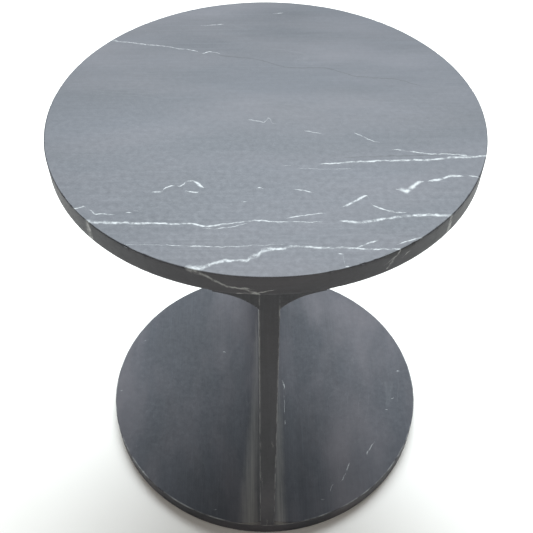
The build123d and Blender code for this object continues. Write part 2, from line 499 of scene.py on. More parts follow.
def toned(tree, colour, tone, pattern, low=0.0, high=1.0, most=1.0):
    """A colour that moves towards a tone as a pattern climbs from low to high, and at most by the share
    given."""
    share = add(tree, "MapRange", {"Value": pattern, "From Min": low, "From Max": high, "To Max": most})
    tone = tone if isinstance(tone, bpy.types.NodeSocket) else opaque(tone)
    return add(tree, "Mix", {0: share, 6: colour, 7: tone}, output=2, data_type="RGBA")


# ---------------------------------------------------------------- stone: where the veins run
# Each strand has a lean, a depth and a path. The path is a list of (along, across, half width) in millimetres
# from the table's middle. A half width of 0 ends a vein, so one strand can hold several that follow each
# other. The lean is how far a vein moves towards the front for each millimetre below the slab's face, and
# the depth is how far below the face it can still be followed.
def flecks(places, size=0.9, reach=2.0):
    """A strand of separate flecks, one at each place."""
    return [(x + step, y, width) for x, y in sorted(places)
            for step, width in ((-reach, 0.0), (0.0, size), (reach, 0.0))]


TOP_STRANDS = {
    "long front vein": (0.0, 30, [
        (-153, -136, 0), (-149, -137, 3.0), (-142, -138, 1.9), (-128, -139, 1.7), (-110, -140, 1.6),
        (-86, -141, 1.1), (-62, -141, 1.1), (-49, -145, 1.2), (-34, -142, 0.7), (-11, -138, 0.8),
        (9, -140, 0.6), (36, -140, 0.3), (44, -140, 0), (57, -140, 0), (62, -140, 1.5), (72, -141, 1.8),
        (84, -140, 1.7), (105, -135, 1.2), (130, -133, 1.7), (152, -134, 1.9)]),
    "front edge vein": (1.2, 30, [
        (-69, -193, 0), (-63, -191, 3.6), (-52, -190, 2.4), (-42, -185, 1.5), (-33, -183, 1.7),
        (-24, -182, 1.3), (-17, -182, 1.9), (-14, -178, 2.4), (-9, -177, 2.8), (-6, -172, 2.6),
        (-1, -171, 1.9), (8, -171, 1.3), (14, -170, 0)]),
    "front edge vein, right": (0.33, 16, [
        (4, -171, 0), (11, -171, 1.3), (16, -168, 1.7), (24, -168, 1.5), (37, -169, 1.2), (58, -169, 1.2),
        (73, -171, 0.9), (99, -172, 0.7), (110, -172, 0), (120, -160, 0)]),
    "faint front line": (0.33, 0.5, [
        (-114, -164, 0), (-108, -164, 0.15), (-82, -164, 0.2), (-57, -166, 0.5), (-29, -167, 0.4),
        (-10, -166, 0.2), (8, -166, 0.2), (14, -166, 0), (100, -167, 0), (106, -164, 0.8), (124, -157, 0.8),
        (130, -156, 0)]),
    "right vein": (0.2, 0.5, [
        (12, -71, 0), (16, -71, 0.9), (20, -71, 0), (44, -69, 0), (50, -69, 0.8), (74, -67, 1.1),
        (107, -65, 1.2), (136, -65, 1.4), (165, -62, 1.3), (192, -60, 1.2)]),
    "right vein, upper strand": (0.2, 0.5, [
        (-16, -6, 0), (-12, -7, 0.5), (-1, -11, 0.4), (2, -3, 0.7), (6, -12, 0.3), (12, -14, 0),
        (34, -23, 0), (38, -24, 0.6), (44, -26, 0.5), (50, -27, 0), (78, -26, 0), (81, -28, 0.6),
        (89, -35, 0.4), (96, -38, 0.5), (101, -40, 0), (110, -51, 0), (116, -51, 0.7), (126, -53, 0.8),
        (144, -57, 0.7), (170, -59, 0.6), (180, -60, 0)]),
    "right blotches": (0.0, 3, [
        (26, -75, 0), (31, -75, 0.15), (50, -76, 0.1), (69, -76, 0.15), (74, -76, 0), (107, -102, 0),
        (111, -102, 2.8), (115, -105, 3.2), (121, -99, 3.4), (127, -93, 2.4), (131, -92, 0), (135, -92, 0),
        (139, -92, 1.5), (147, -90, 1.5), (154, -86, 1.6), (162, -86, 1.3), (166, -86, 0), (170, -86, 0),
        (173, -86, 0.7), (181, -89, 0.7), (186, -90, 0)]),
    "short marks": (0.0, 3, [
        (-97, -103, 0), (-93, -103, 0.9), (-88, -103, 0.9), (-85, -98, 0.9), (-80, -96, 0.9), (-76, -96, 0),
        (-74, -97, 0), (-71, -96, 1.3), (-68, -91, 0.7), (-62, -90, 0.9), (-57, -95, 2.8), (-53, -98, 0),
        (22, -101, 0), (27, -102, 0.7), (34, -104, 0.6), (38, -105, 0), (60, -123, 0), (65, -121, 1.5),
        (71, -117, 1.9), (78, -111, 1.7), (82, -109, 0), (85, -121, 0), (88, -123, 1.1), (98, -129, 1.0),
        (108, -131, 0.8), (112, -131, 0)]),
    "front marks": (0.0, 1, [
        (-159, -122, 0), (-156, -122, 0.8), (-150, -120, 0.9), (-148, -121, 0), (-145, -124, 0),
        (-142, -126, 0.8), (-139, -129, 0.9), (-129, -130, 0.7), (-124, -130, 0), (-68, -102, 0),
        (-64, -103, 1.0), (-59, -104, 0.9), (-56, -103, 0), (-53, -147, 0), (-44, -148, 0.5),
        (-30, -146, 0.5), (-14, -140, 0), (14, -136, 0), (18, -135, 0.5), (42, -131, 0.4), (46, -131, 0),
        (66, -171, 0), (71, -168, 0.9), (82, -163, 0.9), (86, -162, 0)]),
    "flecks": (0.0, 3, flecks([(-113, -128), (-107, -126), (-19, -116), (-6, -99), (55, -176), (59, -189)])),
    "back vein": (0.6, 12, [
        (-155, 126, 0), (-150, 125, 0.6), (-135, 122, 0.5), (-111, 117, 0.6), (-93, 113, 0.4),
        (-71, 106, 0.6), (-66, 104, 0), (-62, 101, 0), (-60, 101, 0.7), (-55, 104, 0.6), (-48, 103, 0.6),
        (-44, 101, 0)]),
    "back marks": (0.0, 3, [
        (-65, 153, 0), (-61, 153, 0.5), (-44, 155, 0.5), (-40, 155, 0), (10, 176, 0), (15, 177, 0.6),
        (22, 177, 0)]),
}
# These lie nearly level in the top slab and only show on its rim: (across, height above its upper face,
# half width).
TOP_RIM_STRANDS = {
    "front edge vein, down the rim": (0.0, 30, [
        (-61, 0, 0), (-56, -1, 1.3), (-50, -3.5, 1.6), (-43, -7, 1.5), (-36, -11, 1.5), (-31, -12, 0.8),
        (-27, -12.5, 0), (-22, -13, 0), (-18, -13.5, 1.0), (-12, -14, 0)]),
    "level front veins": (0.0, 30, [
        (-30, -20, 0), (-25, -20.5, 0.7), (-20, -19.5, 0.6), (-14, -19, 0.4), (-9, -18, 1.0),
        (-6, -16.5, 0.9), (0, -14.7, 0.7), (4, -14, 0), (90, -11, 0), (94, -9, 1.2), (99, -6, 1.2),
        (102, -5, 0), (104, -12, 0), (108, -8, 1.0), (112, -6, 0)]),
}
TOP_DARK_STRANDS = {
    "back dark line": (0.3, 12, [
        (-47, 99, 0), (-43, 97, 0.9), (-10, 91, 0.9), (21, 76, 0.9), (59, 75, 0.9), (70, 70, 0.9),
        (88, 60, 0.9), (124, 56, 0.9), (144, 46, 0.9), (150, 44, 0)]),
    "dark patch at the right rim": (0.33, 30, [
        (84, -182, 0), (92, -177, 1.6), (104, -171, 2.2), (116, -163, 1.6), (124, -157, 0)]),
    "line above the right vein": (0.2, 12, [
        (60, -61, 0), (74, -61, 0.9), (107, -59, 1.2), (136, -59, 1.2), (160, -57, 1.0), (176, -56, 0)]),
}
BASE_STRANDS = {
    "flecks": (0.0, 3, flecks([
        (-193, -5), (-169, 79), (-163, -116), (-154, -126), (-62, -179), (-56, 58), (68, -168), (160, -40),
        (171, -23), (183, 22)])),
}
# Painted reflection: a paler strip on the base along each side of the panel, standing in for light caught by
# the haunches.
# These run from back to front: (distance in front of the middle, place to the right, half width).
BASE_PAINTED_REFLECTION = {
    "haze beside the panel, left": (0.0, 0, [
        (-120, -11, 0), (-40, -11, 5), (40, -13, 8), (110, -17, 11), (170, -20, 13), (199, -21, 14)]),
    "haze beside the panel, right": (0.0, 0, [
        (-90, 12, 0), (-50, 12, 5), (0, 14, 7), (60, 15, 8), (140, 15, 8), (199, 15, 9)]),
}
BASE_LONG_STRANDS = {
    "thin line along the panel": (0.0, 3, [
        (-7, 23, 0), (-3, 24, 1.2), (4, 26, 0.8), (9, 25, 0), (14, 25, 0), (30, 26, 0.4), (42, 25, 0.3),
        (48, 25, 0), (56, 24, 0), (61, 25, 0.6), (66, 25, 0)]),
    "marks near the right edge": (0.0, 3, [
        (88, 140, 0), (94, 136, 0.7), (104, 129, 0.7), (108, 127, 0), (117, 106, 0), (122, 103, 0.9),
        (127, 101, 0.6), (130, 100, 0), (134, 98, 0), (139, 95, 0.9), (143, 93, 0), (147, 83, 0),
        (151, 80, 0.7), (157, 78, 0)]),
}
# On the panel the strands run up from the base: (height from its middle, place along the table, half width).
WEB_STRANDS = {
    "rising vein": (0.4, 500, [
        (-190, -60, 0), (-150, -48, 0.9), (-105, -12, 0.6), (-60, 4, 1.0), (10, 46, 0.7), (80, 66, 0.4),
        (130, 104, 0.9), (170, 118, 0.5), (200, 130, 0)]),
    "short vein": (0.2, 500, [
        (-120, 110, 0), (-96, 116, 0.8), (-70, 122, 1.1), (-30, 119, 0.6), (-6, 128, 0), (60, -150, 0),
        (84, -142, 0.6), (120, -120, 0.9), (150, -117, 0.5), (170, -108, 0)]),
}


# ---------------------------------------------------------------- stone: patterns
PLAN_MM = 400.0
SOFT_EDGE = 1.3
QUARTER = math.radians(90)


def strand_mask(tree, place, lean, path):
    """How strongly a strand shows. Two curves over the distance along it give the middle of the vein and its
    half width w. The strength is 3u^2 - 2u^3 with u = 1 - distance / (1.3 w), so the edges are soft."""
    along = add(tree, "SeparateXYZ", {0: place})
    across = add(tree, "VectorMath", {0: place, 1: (0.0, 1.0, -lean)}, output=1, operation="DOT_PRODUCT")
    readings = []
    for column, zero in ((1, 0.5), (2, 0.0)):
        reading = add(tree, "FloatCurve", {"Value": along})
        mapping = reading.node.mapping
        mapping.extend = "HORIZONTAL"
        line = mapping.curves[0]
        line.points[0].location = (0.0, path[0][column] / PLAN_MM + zero)
        line.points[1].location = (1.0, path[-1][column] / PLAN_MM + zero)
        for step in path:
            line.points.new(step[0] / PLAN_MM + 0.5, step[column] / PLAN_MM + zero)
        for point in line.points:
            point.handle_type = "VECTOR"
        mapping.update()
        readings.append(reading)
    gap = add(tree, "Math", {0: across, 1: readings[0]}, operation="SUBTRACT")
    away = add(tree, "Math", {0: gap}, operation="ABSOLUTE")
    edge = add(tree, "Math", {0: readings[1], 1: SOFT_EDGE}, operation="MULTIPLY")
    return add(tree, "MapRange", {"Value": away, "From Min": edge, "From Max": 0.0},
               interpolation_type="SMOOTHSTEP")


def vein_sheets(tree, bent, seen, low, high, strands):
    """How strongly the strands show at each place of a piece that reaches from low to high, each fading out
    below its own depth. The plan that they are laid out on is 400 mm to a unit with the middle at a half. It
    is seen flat from above, long from above with a quarter turn, at the rim from the front, or at the panel
    from its side."""
    scale = 1 / (PLAN_MM * MM)
    turn, origin = {
        "flat": ((0.0, 0.0, 0.0), (0.5, 0.5, -high * scale)),
        "long": ((0.0, 0.0, QUARTER), (0.5, 0.5, -high * scale)),
        "rim": ((-QUARTER, 0.0, 0.0), (0.5, 0.5 - high * scale, 0.0)),
        "panel": ((0.0, QUARTER, 0.0), (0.5 - (low + high) / 2 * scale, 0.5, 0.0)),
    }[seen]
    plan = add(tree, "Mapping", {"Vector": bent, "Location": origin, "Rotation": turn, "Scale": [scale] * 3})
    height = add(tree, "SeparateXYZ", {0: add(tree, "TexCoord", output=3)}, output=2)
    result = None
    for lean, depth, path in strands.values():
        mask = strand_mask(tree, plan, lean, path)
        end = high - depth * MM
        fade = add(tree, "MapRange", {"Value": height, "From Min": end - MM, "From Max": end})
        shown = add(tree, "Math", {0: mask, 1: fade}, operation="MULTIPLY")
        result = shown if result is None else add(tree, "Math", {0: result, 1: shown}, operation="MAXIMUM")
    if seen != "rim":
        return result
    below_face = add(tree, "MapRange", {"Value": height, "From Min": high - 0.3 * MM,
                                        "From Max": high - 0.8 * MM})
    return add(tree, "Math", {0: result, 1: below_face}, operation="MULTIPLY")


def wandering(tree, place, size_mm, reach_mm):
    """A place moved about by noise: up to reach either way, with bends of the given size."""
    noise = add(tree, "TexNoise", {"Vector": place, "Scale": 1000 / size_mm, "Detail": 3.0}, output=1)
    centred = add(tree, "VectorMath", {0: noise, 1: (0.5, 0.5, 0.5)}, operation="SUBTRACT")
    reach = 2 * reach_mm * MM
    return add(tree, "VectorMath", {0: centred, 1: (reach, reach, reach), 2: place}, operation="MULTIPLY_ADD")


def streaks(tree, place, stroke, along_mm, across_mm, detail=4.0):
    """Noise drawn out along the honing strokes, which run along axis 0, 1 or 2."""
    scale = [1000 / across_mm] * 3
    scale[stroke] = 1000 / along_mm
    stretched = add(tree, "Mapping", {"Vector": place, "Scale": scale})
    return add(tree, "TexNoise", {"Vector": stretched, "Scale": 1.0, "Detail": detail})


def wisps(tree, bent, shifted, stroke, strength):
    """Wisps too fine to place: a line wherever a drawn-out noise passes through its middle value, let
    through in patches of about 55 mm by a second noise."""
    drift = add(tree, "Mapping", {"Vector": bent, "Rotation": (0.12, 0.1, 0.16)})
    ridge = streaks(tree, drift, stroke, 420.0, 42.0, detail=1.0)
    from_ridge = add(tree, "Math", {0: ridge, 1: 0.5}, operation="SUBTRACT")
    gap = add(tree, "Math", {0: from_ridge}, operation="ABSOLUTE")
    line = add(tree, "MapRange", {"Value": gap, "From Min": 0.007, "From Max": 0.0, "To Max": strength})
    gate = add(tree, "TexNoise", {"Vector": shifted, "Scale": 1000 / 55.0, "Detail": 4.0})
    gate_share = add(tree, "MapRange", {"Value": gate, "From Min": 0.52, "From Max": 0.6})
    return add(tree, "Math", {0: line, 1: gate_share}, operation="MULTIPLY")


def worn_and_highlit_edges(tree, place, axis, centre, half):
    """1 along the outer arrises of a slab whose thickness lies on an axis, 0 elsewhere: where a place is
    both next to the round outline and next to one of the slab's faces."""
    level = add(tree, "VectorMath", {0: place, 1: (1.0, 1.0, 0.0)}, operation="MULTIPLY")
    radius = add(tree, "VectorMath", {0: level}, output=1, operation="LENGTH")
    at_rim = add(tree, "MapRange", {"Value": radius, "From Min": RADIUS - 1.5 * MM,
                                    "From Max": RADIUS - 0.8 * MM})
    through = add(tree, "SeparateXYZ", {0: place}, output=axis)
    offset = add(tree, "Math", {0: through, 1: centre}, operation="SUBTRACT")
    away = add(tree, "Math", {0: offset}, operation="ABSOLUTE")
    at_face = add(tree, "MapRange", {"Value": away, "From Min": half - 1.3 * MM, "From Max": half - 0.7 * MM})
    in_slab = add(tree, "Math", {0: away, 1: half + 0.05 * MM}, operation="LESS_THAN")
    at_arris = add(tree, "Math", {0: at_face, 1: in_slab}, operation="MULTIPLY")
    edge = add(tree, "Math", {0: at_rim, 1: at_arris}, operation="MULTIPLY")
    patches = add(tree, "TexNoise", {"Vector": place, "Scale": 1000 / 14.0, "Detail": 5.0})
    share = add(tree, "MapRange", {"Value": patches, "From Min": 0.38, "From Max": 0.62})
    return add(tree, "Math", {0: edge, 1: share}, operation="MULTIPLY")


def painted_reflection_strip(tree, place, spread, strokes):
    """Painted reflection: a paler strip on the base beside the panel, where the haunches catch light. It is
    as wide as its strands, stronger towards the front and broken up by the honing strokes."""
    depthwise = add(tree, "SeparateXYZ", {0: place}, output=1)
    nearer = add(tree, "MapRange", {"Value": depthwise, "From Min": 0.0, "From Max": -0.85 * RADIUS,
                                    "To Min": 0.35, "To Max": 1.0})
    film = add(tree, "Math", {0: spread, 1: nearer}, operation="MULTIPLY", use_clamp=True)
    patchy = add(tree, "MapRange", {"Value": strokes, "From Min": 0.3, "From Max": 0.7,
                                    "To Min": 0.3, "To Max": 0.75})
    return add(tree, "Math", {0: film, 1: patchy}, operation="MULTIPLY")


# ---------------------------------------------------------------- materials
def honed_marble(name, stroke, low, high, shift, finish, sheen, dust, wear_and_highlight, wisp_strength, veins,
                 dark_veins=None, haze=None):
    """Black marble, sawn and honed: near black, clouded a little blue and brown, with a satin face that the
    abrasive has left in faint strokes, white calcite veins that stay a touch glossier, warm dust rubbed into
    the strokes, and a paler sawn skin on the underside. Veins are given by how they are seen; a piece whose
    veins are seen on the panel stands, with its thickness along x."""
    colours = bpy.context.scene.table_colours
    material, tree, surface = new_material(name, IOR=1.5, Roughness=finish, Specular_IOR_Level=sheen)
    place = add(tree, "TexCoord", output=3)
    height = add(tree, "SeparateXYZ", {0: place}, output=2)
    shifted = add(tree, "Mapping", {"Vector": place, "Location": (shift, 0.3 * shift, 0.0)})
    bent = wandering(tree, wandering(tree, place, 18.0, 2.2), 4.0, 1.1)

    # Clouds 60 to 160 mm across, drawn out along the strokes, mottle of 5 mm and crystals of about 1 mm.
    # Dust lies over them in broad smears.
    clouds = streaks(tree, shifted, stroke, 160.0, 60.0, detail=6.0)
    strokes = streaks(tree, shifted, stroke, 90.0, 2.2)
    smears = streaks(tree, shifted, stroke, 150.0, 55.0, detail=7.0)
    mottle = add(tree, "TexNoise", {"Vector": shifted, "Scale": 1000 / 5.0, "Detail": 8.0, "Roughness": 0.62})
    crystals = add(tree, "TexNoise", {"Vector": place, "Scale": 1000 / 1.1, "Detail": 2.0})
    dust_share = add(tree, "MapRange", {"Value": smears, "From Min": 0.4, "From Max": 0.7, "To Max": dust})
    colour = toned(tree, opaque(colours.stone_dark), colours.stone, clouds, 0.34, 0.68)
    colour = toned(tree, colour, colours.stone_light, strokes, 0.45, 0.75, 0.35)
    colour = toned(tree, colour, colours.stone_light, crystals, 0.6, 0.75, 0.5)
    colour = toned(tree, colour, colours.dust, dust_share)
    # A paler strip painted beside the panel stands in for the light that the haunches reflect there.
    if haze:
        spread = vein_sheets(tree, bent, "long", low, high, haze)
        colour = toned(tree, colour, colours.painted_reflection, painted_reflection_strip(tree, place, spread, strokes))
    if dark_veins:
        dark = vein_sheets(tree, bent, "flat", low, high, dark_veins)
        colour = toned(tree, colour, colours.dark_vein, dark, most=0.75)

    # Veins are sheets through the stone, broken up every few millimetres.
    shown = None
    for seen, strands in veins.items():
        found = vein_sheets(tree, bent, seen, low, high, strands)
        shown = found if shown is None else add(tree, "Math", {0: shown, 1: found}, operation="MAXIMUM")
    broken = add(tree, "TexNoise", {"Vector": place, "Scale": 1000 / 6.0, "Detail": 6.0, "Roughness": 0.65})
    broken_share = add(tree, "MapRange", {"Value": broken, "From Min": 0.38, "From Max": 0.58,
                                          "To Min": 0.12, "To Max": 1.0})
    placed = add(tree, "Math", {0: shown, 1: broken_share}, operation="MULTIPLY", use_clamp=True)
    fine = wisps(tree, bent, shifted, stroke, wisp_strength)
    vein = add(tree, "Math", {0: placed, 1: fine}, operation="MAXIMUM")
    colour = toned(tree, colour, colours.vein, vein)

    # Bruised arrises are paler than the honed face, and this paler edge also stands in as a painted highlight
    # along the arrises.
    axis, centre, half = (0, 0.0, HALF_WEB) if "panel" in veins else (2, (low + high) / 2, (high - low) / 2)
    edge = worn_and_highlit_edges(tree, place, axis, centre, half)
    colour = toned(tree, colour, colours.wear_and_highlight, edge, most=wear_and_highlight)

    # The underside keeps the saw's skin: paler, dull, with arcs of its blade about 4 mm apart. A ring
    # texture of scale 1 has 20 radians to a unit.
    sawn = add(tree, "MapRange", {"Value": height, "From Min": low + 0.5 * MM, "From Max": low + 0.1 * MM})
    blade = add(tree, "Mapping", {"Vector": place, "Location": (0.9, 0.4, 0.0)})
    arcs = add(tree, "TexWave", {"Vector": blade, "Scale": math.tau * 1000 / 4.0 / 20.0, "Distortion": 1.5,
                                 "Detail": 2.0, "Detail Scale": 4.0}, wave_type="RINGS", rings_direction="Z")
    saw_colour = toned(tree, opaque(colours.stone_light), colours.sawn, arcs)
    colour = toned(tree, colour, saw_colour, sawn, most=0.75)

    # Mottle, saw marks and dust dull the face, and veins stay glossier. The mottle adds 0.1 on average, so
    # the strokes start that much lower.
    roughness = add(tree, "MapRange", {"Value": strokes, "From Min": 0.3, "From Max": 0.7,
                                       "To Min": finish - 0.125, "To Max": finish - 0.075})
    for pattern, amount in ((mottle, 0.2), (vein, -0.08), (sawn, 0.2), (dust_share, 0.12)):
        roughness = add(tree, "Math", {0: pattern, 1: amount, 2: roughness}, operation="MULTIPLY_ADD")
    relief = add(tree, "Math", {0: arcs, 1: sawn}, operation="MULTIPLY")
    for pattern, amount in ((strokes, 0.25), (mottle, 0.7), (crystals, 0.2)):
        relief = add(tree, "Math", {0: pattern, 1: amount, 2: relief}, operation="MULTIPLY_ADD")
    bump = add(tree, "Bump", {"Height": relief, "Strength": 0.5, "Distance": 0.1 * MM})
    finish_surface(tree, surface, colour, roughness, bump)
    return material


def top_marble(name):
    """The top: strokes from side to side, and the veins that give the table its face."""
    return honed_marble(name, 0, TOP_LOW.z, TOP_HIGH.z, shift=0.0, finish=0.52, sheen=0.5, dust=0.25,
                        wear_and_highlight=0.12, wisp_strength=0.03, veins={"flat": TOP_STRANDS, "rim": TOP_RIM_STRANDS},
                        dark_veins=TOP_DARK_STRANDS)


def base_marble(name):
    """The base: strokes from front to back, dustier and duller than the top, scattered flecks, and a painted
    reflection in strips beside the panel.
    """
    return honed_marble(name, 1, BASE_LOW.z, BASE_HIGH.z, shift=0.37, finish=0.62, sheen=0.42, dust=0.5,
                        wear_and_highlight=0.9, wisp_strength=0.05, veins={"flat": BASE_STRANDS, "long": BASE_LONG_STRANDS},
                        haze=BASE_PAINTED_REFLECTION)


def web_marble(name):
    """The panel: strokes from top to bottom, and veins that rise across it."""
    return honed_marble(name, 2, WEB_LOW.z, WEB_HIGH.z, shift=0.71, finish=0.54, sheen=0.5, dust=0.2,
                        wear_and_highlight=0.5, wisp_strength=0.3, veins={"panel": WEB_STRANDS})


def drawn_steel(name):
    """Stainless steel, rolled or drawn and machined: bright grey, with fine tool lines round every turned
    face that spread the highlight, and a slightly duller mottle from handling."""
    colours = bpy.context.scene.table_colours
    material, tree, surface = new_material(name, Metallic=1.0, Roughness=0.28)
    place = add(tree, "TexCoord", output=3)
    # Tool lines are about 0.1 mm apart on real parts; they are drawn 0.4 mm apart so that they show.
    lines = streaks(tree, place, 2, 30.0, 0.4)
    mottle = add(tree, "TexNoise", {"Vector": place, "Scale": 1000 / 6.0, "Detail": 4.0})
    colour = toned(tree, opaque(colours.steel_dull), colours.steel, mottle, 0.35, 0.65)
    roughness = add(tree, "MapRange", {"Value": lines, "From Min": 0.3, "From Max": 0.7,
                                       "To Min": 0.22, "To Max": 0.4})
    bump = add(tree, "Bump", {"Height": lines, "Strength": 0.2, "Distance": 0.02 * MM})
    finish_surface(tree, surface, colour, roughness, bump)
    return material


def moulded_rubber(name):
    """Rubber, moulded in a blasted tool: black and dull, a fine even grain, and paler dust in the grain."""
    colours = bpy.context.scene.table_colours
    material, tree, surface = new_material(name, IOR=1.52, Roughness=0.8)
    place = add(tree, "TexCoord", output=3)
    grain = add(tree, "TexNoise", {"Vector": place, "Scale": 1000 / 0.5, "Detail": 3.0})
    dust = add(tree, "TexNoise", {"Vector": place, "Scale": 1000 / 8.0, "Detail": 5.0})
    colour = toned(tree, opaque(colours.rubber), colours.rubber_dust, dust, 0.45, 0.75, 0.5)
    roughness = add(tree, "MapRange", {"Value": dust, "From Min": 0.3, "From Max": 0.7,
                                       "To Min": 0.7, "To Max": 0.92})
    bump = add(tree, "Bump", {"Height": grain, "Strength": 0.5, "Distance": 0.05 * MM})
    finish_surface(tree, surface, colour, roughness, bump)
    return material


def painted_floor(name):
    """A studio floor rolled with matt paint: pale, with the roller's soft mottle."""
    colours = bpy.context.scene.table_colours
    material, tree, surface = new_material(name, IOR=1.45, Roughness=0.8)
    place = add(tree, "TexCoord", output=3)
    mottle = add(tree, "TexNoise", {"Vector": place, "Scale": 4.0, "Detail": 4.0})
    colour = toned(tree, opaque(colours.floor_shade), colours.floor, mottle, 0.3, 0.7)
    tree.links.new(colour, surface.inputs["Base Color"])
    return material


MATERIALS = {
    "top": ("Black marble, honed top", top_marble),
    "base": ("Black marble, honed base", base_marble),
    "panel": ("Black marble, honed panel", web_marble),
    "steel": ("Stainless steel, machined", drawn_steel),
    "rubber": ("Rubber, moulded", moulded_rubber),
    "floor": ("Floor paint, rolled", painted_floor),
}


def material_of(kind):
    """The material of this kind, built the first time it is asked for."""
    name, build = MATERIALS[kind]
    return bpy.data.materials.get(name) or build(name)


# ---------------------------------------------------------------- pieces
# Nicks in the top's upper arris: degrees to the right of the front, half width and depth.
TOP_NICKS = ((-34.0, 2.5 * MM, 0.9 * MM), (21.0, 2.0 * MM, 0.5 * MM), (104.0, 3.0 * MM, 0.7 * MM))
TOP_SEED, BASE_SEED = 11, 23
NUT_PLAY = 0.05 * MM
WASHER_PLAY = 0.2 * MM
WASHER_EDGE = 0.25 * MM


def middle_of(node):
    """The middle of a node's box."""
    low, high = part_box(node)
    return (low + high) / 2


def cylinder(centre, radius, low, high, segments):
    """A closed upright cylinder between two heights."""
    return turned([(0, high), (radius, high), (radius, low), (0, low)], centre, segments)


def pin_hole(node, film):
    """The hole that a pin is bonded in: the pin's own cylinder, wider by the film round it. The pins stand
    on the plane x = 0, so the far x of a pin's box is its radius."""
    low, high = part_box(node)
    return cylinder(middle_of(node), high.x + film, low.z, high.z, 48)


class TableOperator(bpy.types.Operator):
    """Shared settings of the table's operators."""

    bl_options = {"REGISTER", "UNDO"}


class MARBLE_OT_top(TableOperator):
    """Turns the top slab and drills the holes for its dowels"""

    bl_idname = "marble_table.top"
    bl_label = "Top slab"

    def execute(self, context):
        sizes = context.scene.table_sizes
        shell = slab_shell(TOP_LOW.z, TOP_HIGH.z, sizes.arris, sizes.chip, False, True, TOP_SEED, TOP_NICKS)
        piece = make_object("top_slab", shell)
        carve(piece, [pin_hole(f"top_dowel_{n}", sizes.bond_film) for n in ROW])
        settle(piece, material_of("top"), "black_marble", "top_disc")
        return {"FINISHED"}


class MARBLE_OT_base(TableOperator):
    """Turns the base slab, with a counterbore and a clearance hole under each stud"""

    bl_idname = "marble_table.base"
    bl_label = "Base slab"

    def execute(self, context):
        sizes = context.scene.table_sizes
        shell = slab_shell(BASE_LOW.z, BASE_HIGH.z, sizes.arris, sizes.chip, True, False, BASE_SEED)
        piece = make_object("base_slab", shell)
        cutters = []
        for n in ROW:
            low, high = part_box(f"base_stud_{n}")
            centre = middle_of(f"base_stud_{n}")
            cutters.append(cylinder(centre, sizes.stud_clearance, low.z, high.z, 48))
            cutters.append(cylinder(centre, sizes.recess, 0.0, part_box(f"base_washer_{n}")[1].z, 96))
        carve(piece, cutters)
        settle(piece, material_of("base"), "black_marble", "base_disc")
        return {"FINISHED"}


class MARBLE_OT_web(TableOperator):
    """Cuts the upright panel, with blind holes for dowels above and studs below"""

    bl_idname = "marble_table.web"
    bl_label = "Upright panel"

    def execute(self, context):
        sizes = context.scene.table_sizes
        piece = make_object("web_slab", web_shell(sizes.arris, sizes.chip))
        pins = [f"{kind}_{n}" for kind in ("top_dowel", "base_stud") for n in ROW]
        carve(piece, [pin_hole(pin, sizes.bond_film) for pin in pins])
        settle(piece, material_of("panel"), "black_marble", "web_panel")
        return {"FINISHED"}


class MARBLE_OT_haunches(TableOperator):
    """Sets a hollow stone strip into each corner between the panel and a slab"""

    bl_idname = "marble_table.haunches"
    bl_label = "Haunches"

    def execute(self, context):
        sizes = context.scene.table_sizes
        for node in HAUNCHES:
            side = 1 if node.endswith("right") else -1
            above = node.startswith("top")
            face = TOP_LOW.z if above else BASE_HIGH.z
            rise = -TOP_HAUNCH_DEPTH if above else BASE_HAUNCH_DEPTH
            shell = haunch_shell(side, face, rise, sizes.nib, sizes.arris)
            piece = make_object(f"{node}_stone", shell, sharp_degrees=50.0)
            settle(piece, material_of("panel" if above else "base"), "black_marble", node)
        return {"FINISHED"}


class MARBLE_OT_dowels(TableOperator):
    """Gives the dowels, which stay as they come from the frame, their steel"""

    bl_idname = "marble_table.dowels"
    bl_label = "Dowels"

    def execute(self, context):
        for n in ROW:
            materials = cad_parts[f"top_dowel_{n}"].data.materials
            materials.clear()
            materials.append(material_of("steel"))
        return {"FINISHED"}


class MARBLE_OT_studs(TableOperator):
    """Cuts the threaded studs"""

    bl_idname = "marble_table.studs"
    bl_label = "Studs"

    def execute(self, context):
        sizes = context.scene.table_sizes
        for n in ROW:
            node = f"base_stud_{n}"
            low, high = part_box(node)
            shell = threaded_shell(middle_of(node), low.z, high.z, high.x, sizes.pitch)
            settle(make_object(f"{node}_threaded", shell), material_of("steel"), "stainless_steel", node)
        return {"FINISHED"}


class MARBLE_OT_nuts(TableOperator):
    """Makes the nuts and washers in the counterbores"""

    bl_idname = "marble_table.nuts"
    bl_label = "Nuts and washers"

    def execute(self, context):
        for n in ROW:
            stud_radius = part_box(f"base_stud_{n}")[1].x
            node = f"base_nut_{n}"
            low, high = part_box(node)
            half_flats = min(high.x - low.x, high.y - low.y) / 2
            shell = nut_shell(middle_of(node), low.z, high.z, half_flats, stud_radius + NUT_PLAY)
            settle(make_object(f"{node}_hex", shell, 20.0), material_of("steel"), "stainless_steel", node)
            node = f"base_washer_{n}"
            low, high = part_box(node)
            outer = (high.x - low.x) / 2
            inner = stud_radius + WASHER_PLAY
            corners = [(inner, high.z), (outer, high.z), (outer, low.z), (inner, low.z)]
            shell = turned(rounded(corners, WASHER_EDGE), middle_of(node), 72)
            settle(make_object(f"{node}_rolled", shell), material_of("steel"), "stainless_steel", node)
        return {"FINISHED"}


class MARBLE_OT_pads(TableOperator):
    """Moulds the rubber pads, each with a raised rim round a dished tread"""

    bl_idname = "marble_table.pads"
    bl_label = "Foot pads"

    def execute(self, context):
        for n in PADS:
            node = f"foot_pad_{n}"
            low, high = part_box(node)
            shell = pad_shell(middle_of(node), low.z, high.z, (high.y - low.y) / 2)
            settle(make_object(f"{node}_moulded", shell, 60.0), material_of("rubber"), "black_rubber", node)
        return {"FINISHED"}


